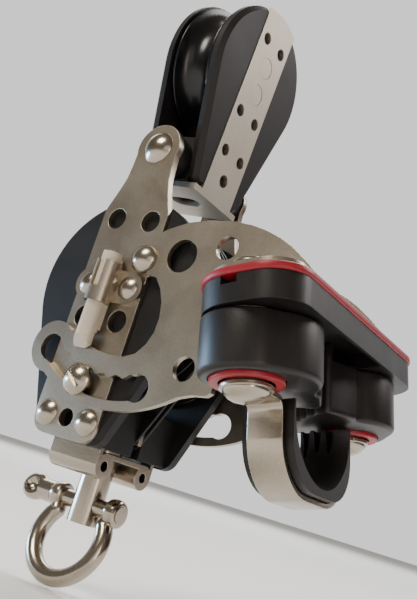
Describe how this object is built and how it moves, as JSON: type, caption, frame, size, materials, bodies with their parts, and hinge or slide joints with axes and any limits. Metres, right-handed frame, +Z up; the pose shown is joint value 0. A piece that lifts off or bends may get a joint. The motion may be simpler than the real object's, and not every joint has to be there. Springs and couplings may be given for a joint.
{
  "type": "swivel ratchet block with cam cleat",
  "caption": "Sailing block with a double sheave body, a turned upper sheave, a ratchet switch, a tilting cam cleat arm and a swivelling bow shackle.",
  "frame": {"origin": "centre of the lower sheave axle, midway between the two lower sheaves", "axes": "+Z up the line of load from the shackle to the upper block, +X toward the cleat, +Y to the rear along the lower axle"},
  "size_m": [0.065, 0.0552, 0.1199],
  "materials": {
    "satin_steel": "satin rolled stainless sheet",
    "head_steel": "matte stainless sheet",
    "polished_steel": "polished stainless",
    "cheek_plastic": "matte moulded, fine grain",
    "sheave_plastic": "smooth semi-gloss",
    "cleat_plastic": "satin moulded composite",
    "red_plastic": "satin moulded red",
    "roller_plastic": "smooth acetal",
    "switch_plastic": "satin off-white acetal"
  },
  "bodies": {
    "frame": {"strap_front": "satin_steel", "strap_rear": "satin_steel", "centre_strap": "satin_steel", "cheek_front": "cheek_plastic", "cheek_rear": "cheek_plastic", "centre_cheek_front": "cheek_plastic", "centre_cheek_rear": "cheek_plastic", "foot_spacer_front": "cheek_plastic", "foot_spacer_rear": "cheek_plastic", "hub": "satin_steel", "rivets_mid": "polished_steel", "rivets_foot": "polished_steel", "cross_pin": "polished_steel", "pin_sleeve_front": "cheek_plastic", "pin_sleeve_rear": "cheek_plastic", "saddle": "satin_steel", "pivot_screws": "polished_steel", "slot_screws": "polished_steel", "foot_bracket": "polished_steel", "pawl_spring": "satin_steel"},
    "pawl": {"pawl": "polished_steel"},
    "switch": {"switch_bar": "switch_plastic"},
    "sheave_front": {"sheave_front": "sheave_plastic", "ratchet_ring": "satin_steel"},
    "rollers_front": {"rollers_front": "roller_plastic"},
    "sheave_rear": {"sheave_rear": "sheave_plastic"},
    "rollers_rear": {"rollers_rear": "roller_plastic"},
    "post": {"swivel_post": "polished_steel"},
    "shackle": {"shackle_bow": "polished_steel", "shackle_pin": "polished_steel"},
    "arm": {"arm_plate_front": "satin_steel", "arm_plate_rear": "satin_steel", "cleat_pad": "red_plastic", "cleat_base": "cleat_plastic", "cleat_screws": "polished_steel", "cleat_nuts": "polished_steel", "cam_sleeve_front": "satin_steel", "cam_sleeve_rear": "satin_steel", "cam_spring_front": "satin_steel", "cam_spring_rear": "satin_steel", "fairlead_strap": "polished_steel", "fairlead_eye": "cleat_plastic"},
    "cam_front": {"cam_front": "cleat_plastic", "cam_ring_front": "red_plastic"},
    "cam_rollers_front": {"cam_rollers_front": "roller_plastic"},
    "cam_rear": {"cam_rear": "cleat_plastic", "cam_ring_rear": "red_plastic"},
    "cam_rollers_rear": {"cam_rollers_rear": "roller_plastic"},
    "head": {"head_strap": "head_steel", "head_cheek_right": "cheek_plastic", "head_cheek_left": "cheek_plastic", "head_spacer": "cheek_plastic", "head_hub": "satin_steel", "head_rivets": "head_steel"},
    "head_sheave": {"head_sheave": "sheave_plastic"},
    "head_rollers": {"head_rollers": "roller_plastic"}
  },
  "joints": [
    {"name": "sheave_front_spin", "type": "hinge", "parent": "frame", "child": "sheave_front", "pos_m": [0, 0, 0], "axis": [0, 1, 0], "continuous": true},
    {"name": "rollers_front_spin", "type": "hinge", "parent": "frame", "child": "rollers_front", "pos_m": [0, 0, 0], "axis": [0, 1, 0], "continuous": true},
    {"name": "sheave_rear_spin", "type": "hinge", "parent": "frame", "child": "sheave_rear", "pos_m": [0, 0, 0], "axis": [0, 1, 0], "continuous": true},
    {"name": "rollers_rear_spin", "type": "hinge", "parent": "frame", "child": "rollers_rear", "pos_m": [0, 0, 0], "axis": [0, 1, 0], "continuous": true},
    {"name": "switch_slide", "type": "slide", "parent": "frame", "child": "switch", "axis": [0, 0, 1], "range_m": [0, 0.003]},
    {"name": "pawl_swing", "type": "hinge", "parent": "frame", "child": "pawl", "pos_m": [-0.0064, -0.009, -0.0052], "axis": [0, 1, 0], "range_deg": [-6, 0]},
    {"name": "swivel", "type": "hinge", "parent": "frame", "child": "post", "pos_m": [0, 0, -0.029], "axis": [0, 0, 1], "continuous": true},
    {"name": "shackle_swing", "type": "hinge", "parent": "post", "child": "shackle", "pos_m": [0, 0, -0.0383], "axis": [1, 0, 0], "range_deg": [-73, 107]},
    {"name": "arm_tilt", "type": "hinge", "parent": "frame", "child": "arm", "pos_m": [0.0068, 0, 0.0056], "axis": [0, 1, 0], "range_deg": [-24, 24]},
    {"name": "cam_front_open", "type": "hinge", "parent": "arm", "child": "cam_front", "pos_m": [0.03627, -0.019, -0.00858], "axis": [0.2706, 0, -0.9627], "range_deg": [0, 20], "stiffness_Nm_per_rad": 0.02, "springref_deg": -20.05},
    {"name": "cam_front_rollers", "type": "hinge", "parent": "arm", "child": "cam_rollers_front", "pos_m": [0.03627, -0.019, -0.00858], "axis": [0.2706, 0, -0.9627], "range_deg": [0, 12.4]},
    {"name": "cam_rear_open", "type": "hinge", "parent": "arm", "child": "cam_rear", "pos_m": [0.03627, 0.019, -0.00858], "axis": [-0.2706, 0, 0.9627], "range_deg": [0, 20], "stiffness_Nm_per_rad": 0.02, "springref_deg": -20.05},
    {"name": "cam_rear_rollers", "type": "hinge", "parent": "arm", "child": "cam_rollers_rear", "pos_m": [0.03627, 0.019, -0.00858], "axis": [-0.2706, 0, 0.9627], "range_deg": [0, 12.4]},
    {"name": "head_tilt", "type": "hinge", "parent": "frame", "child": "head", "pos_m": [0, 0, 0.0285], "axis": [0, 1, 0], "range_deg": [-30, 30]},
    {"name": "head_sheave_spin", "type": "hinge", "parent": "head", "child": "head_sheave", "pos_m": [0.00135, 0, 0.05126], "axis": [0.9982, 0, -0.0593], "continuous": true},
    {"name": "head_rollers_spin", "type": "hinge", "parent": "head", "child": "head_rollers", "pos_m": [0.00135, 0, 0.05126], "axis": [0.9982, 0, -0.0593], "continuous": true}
  ],
  "couplings": [
    {"joint": "rollers_front_spin", "follows": "sheave_front_spin", "ratio": 0.5975},
    {"joint": "rollers_rear_spin", "follows": "sheave_rear_spin", "ratio": 0.5975},
    {"joint": "head_rollers_spin", "follows": "head_sheave_spin", "ratio": 0.609},
    {"joint": "pawl_swing", "follows": "switch_slide", "rad_per_m": -34},
    {"joint": "cam_front_rollers", "follows": "cam_front_open", "ratio": 0.601},
    {"joint": "cam_rear_rollers", "follows": "cam_rear_open", "ratio": 0.601}
  ]
}
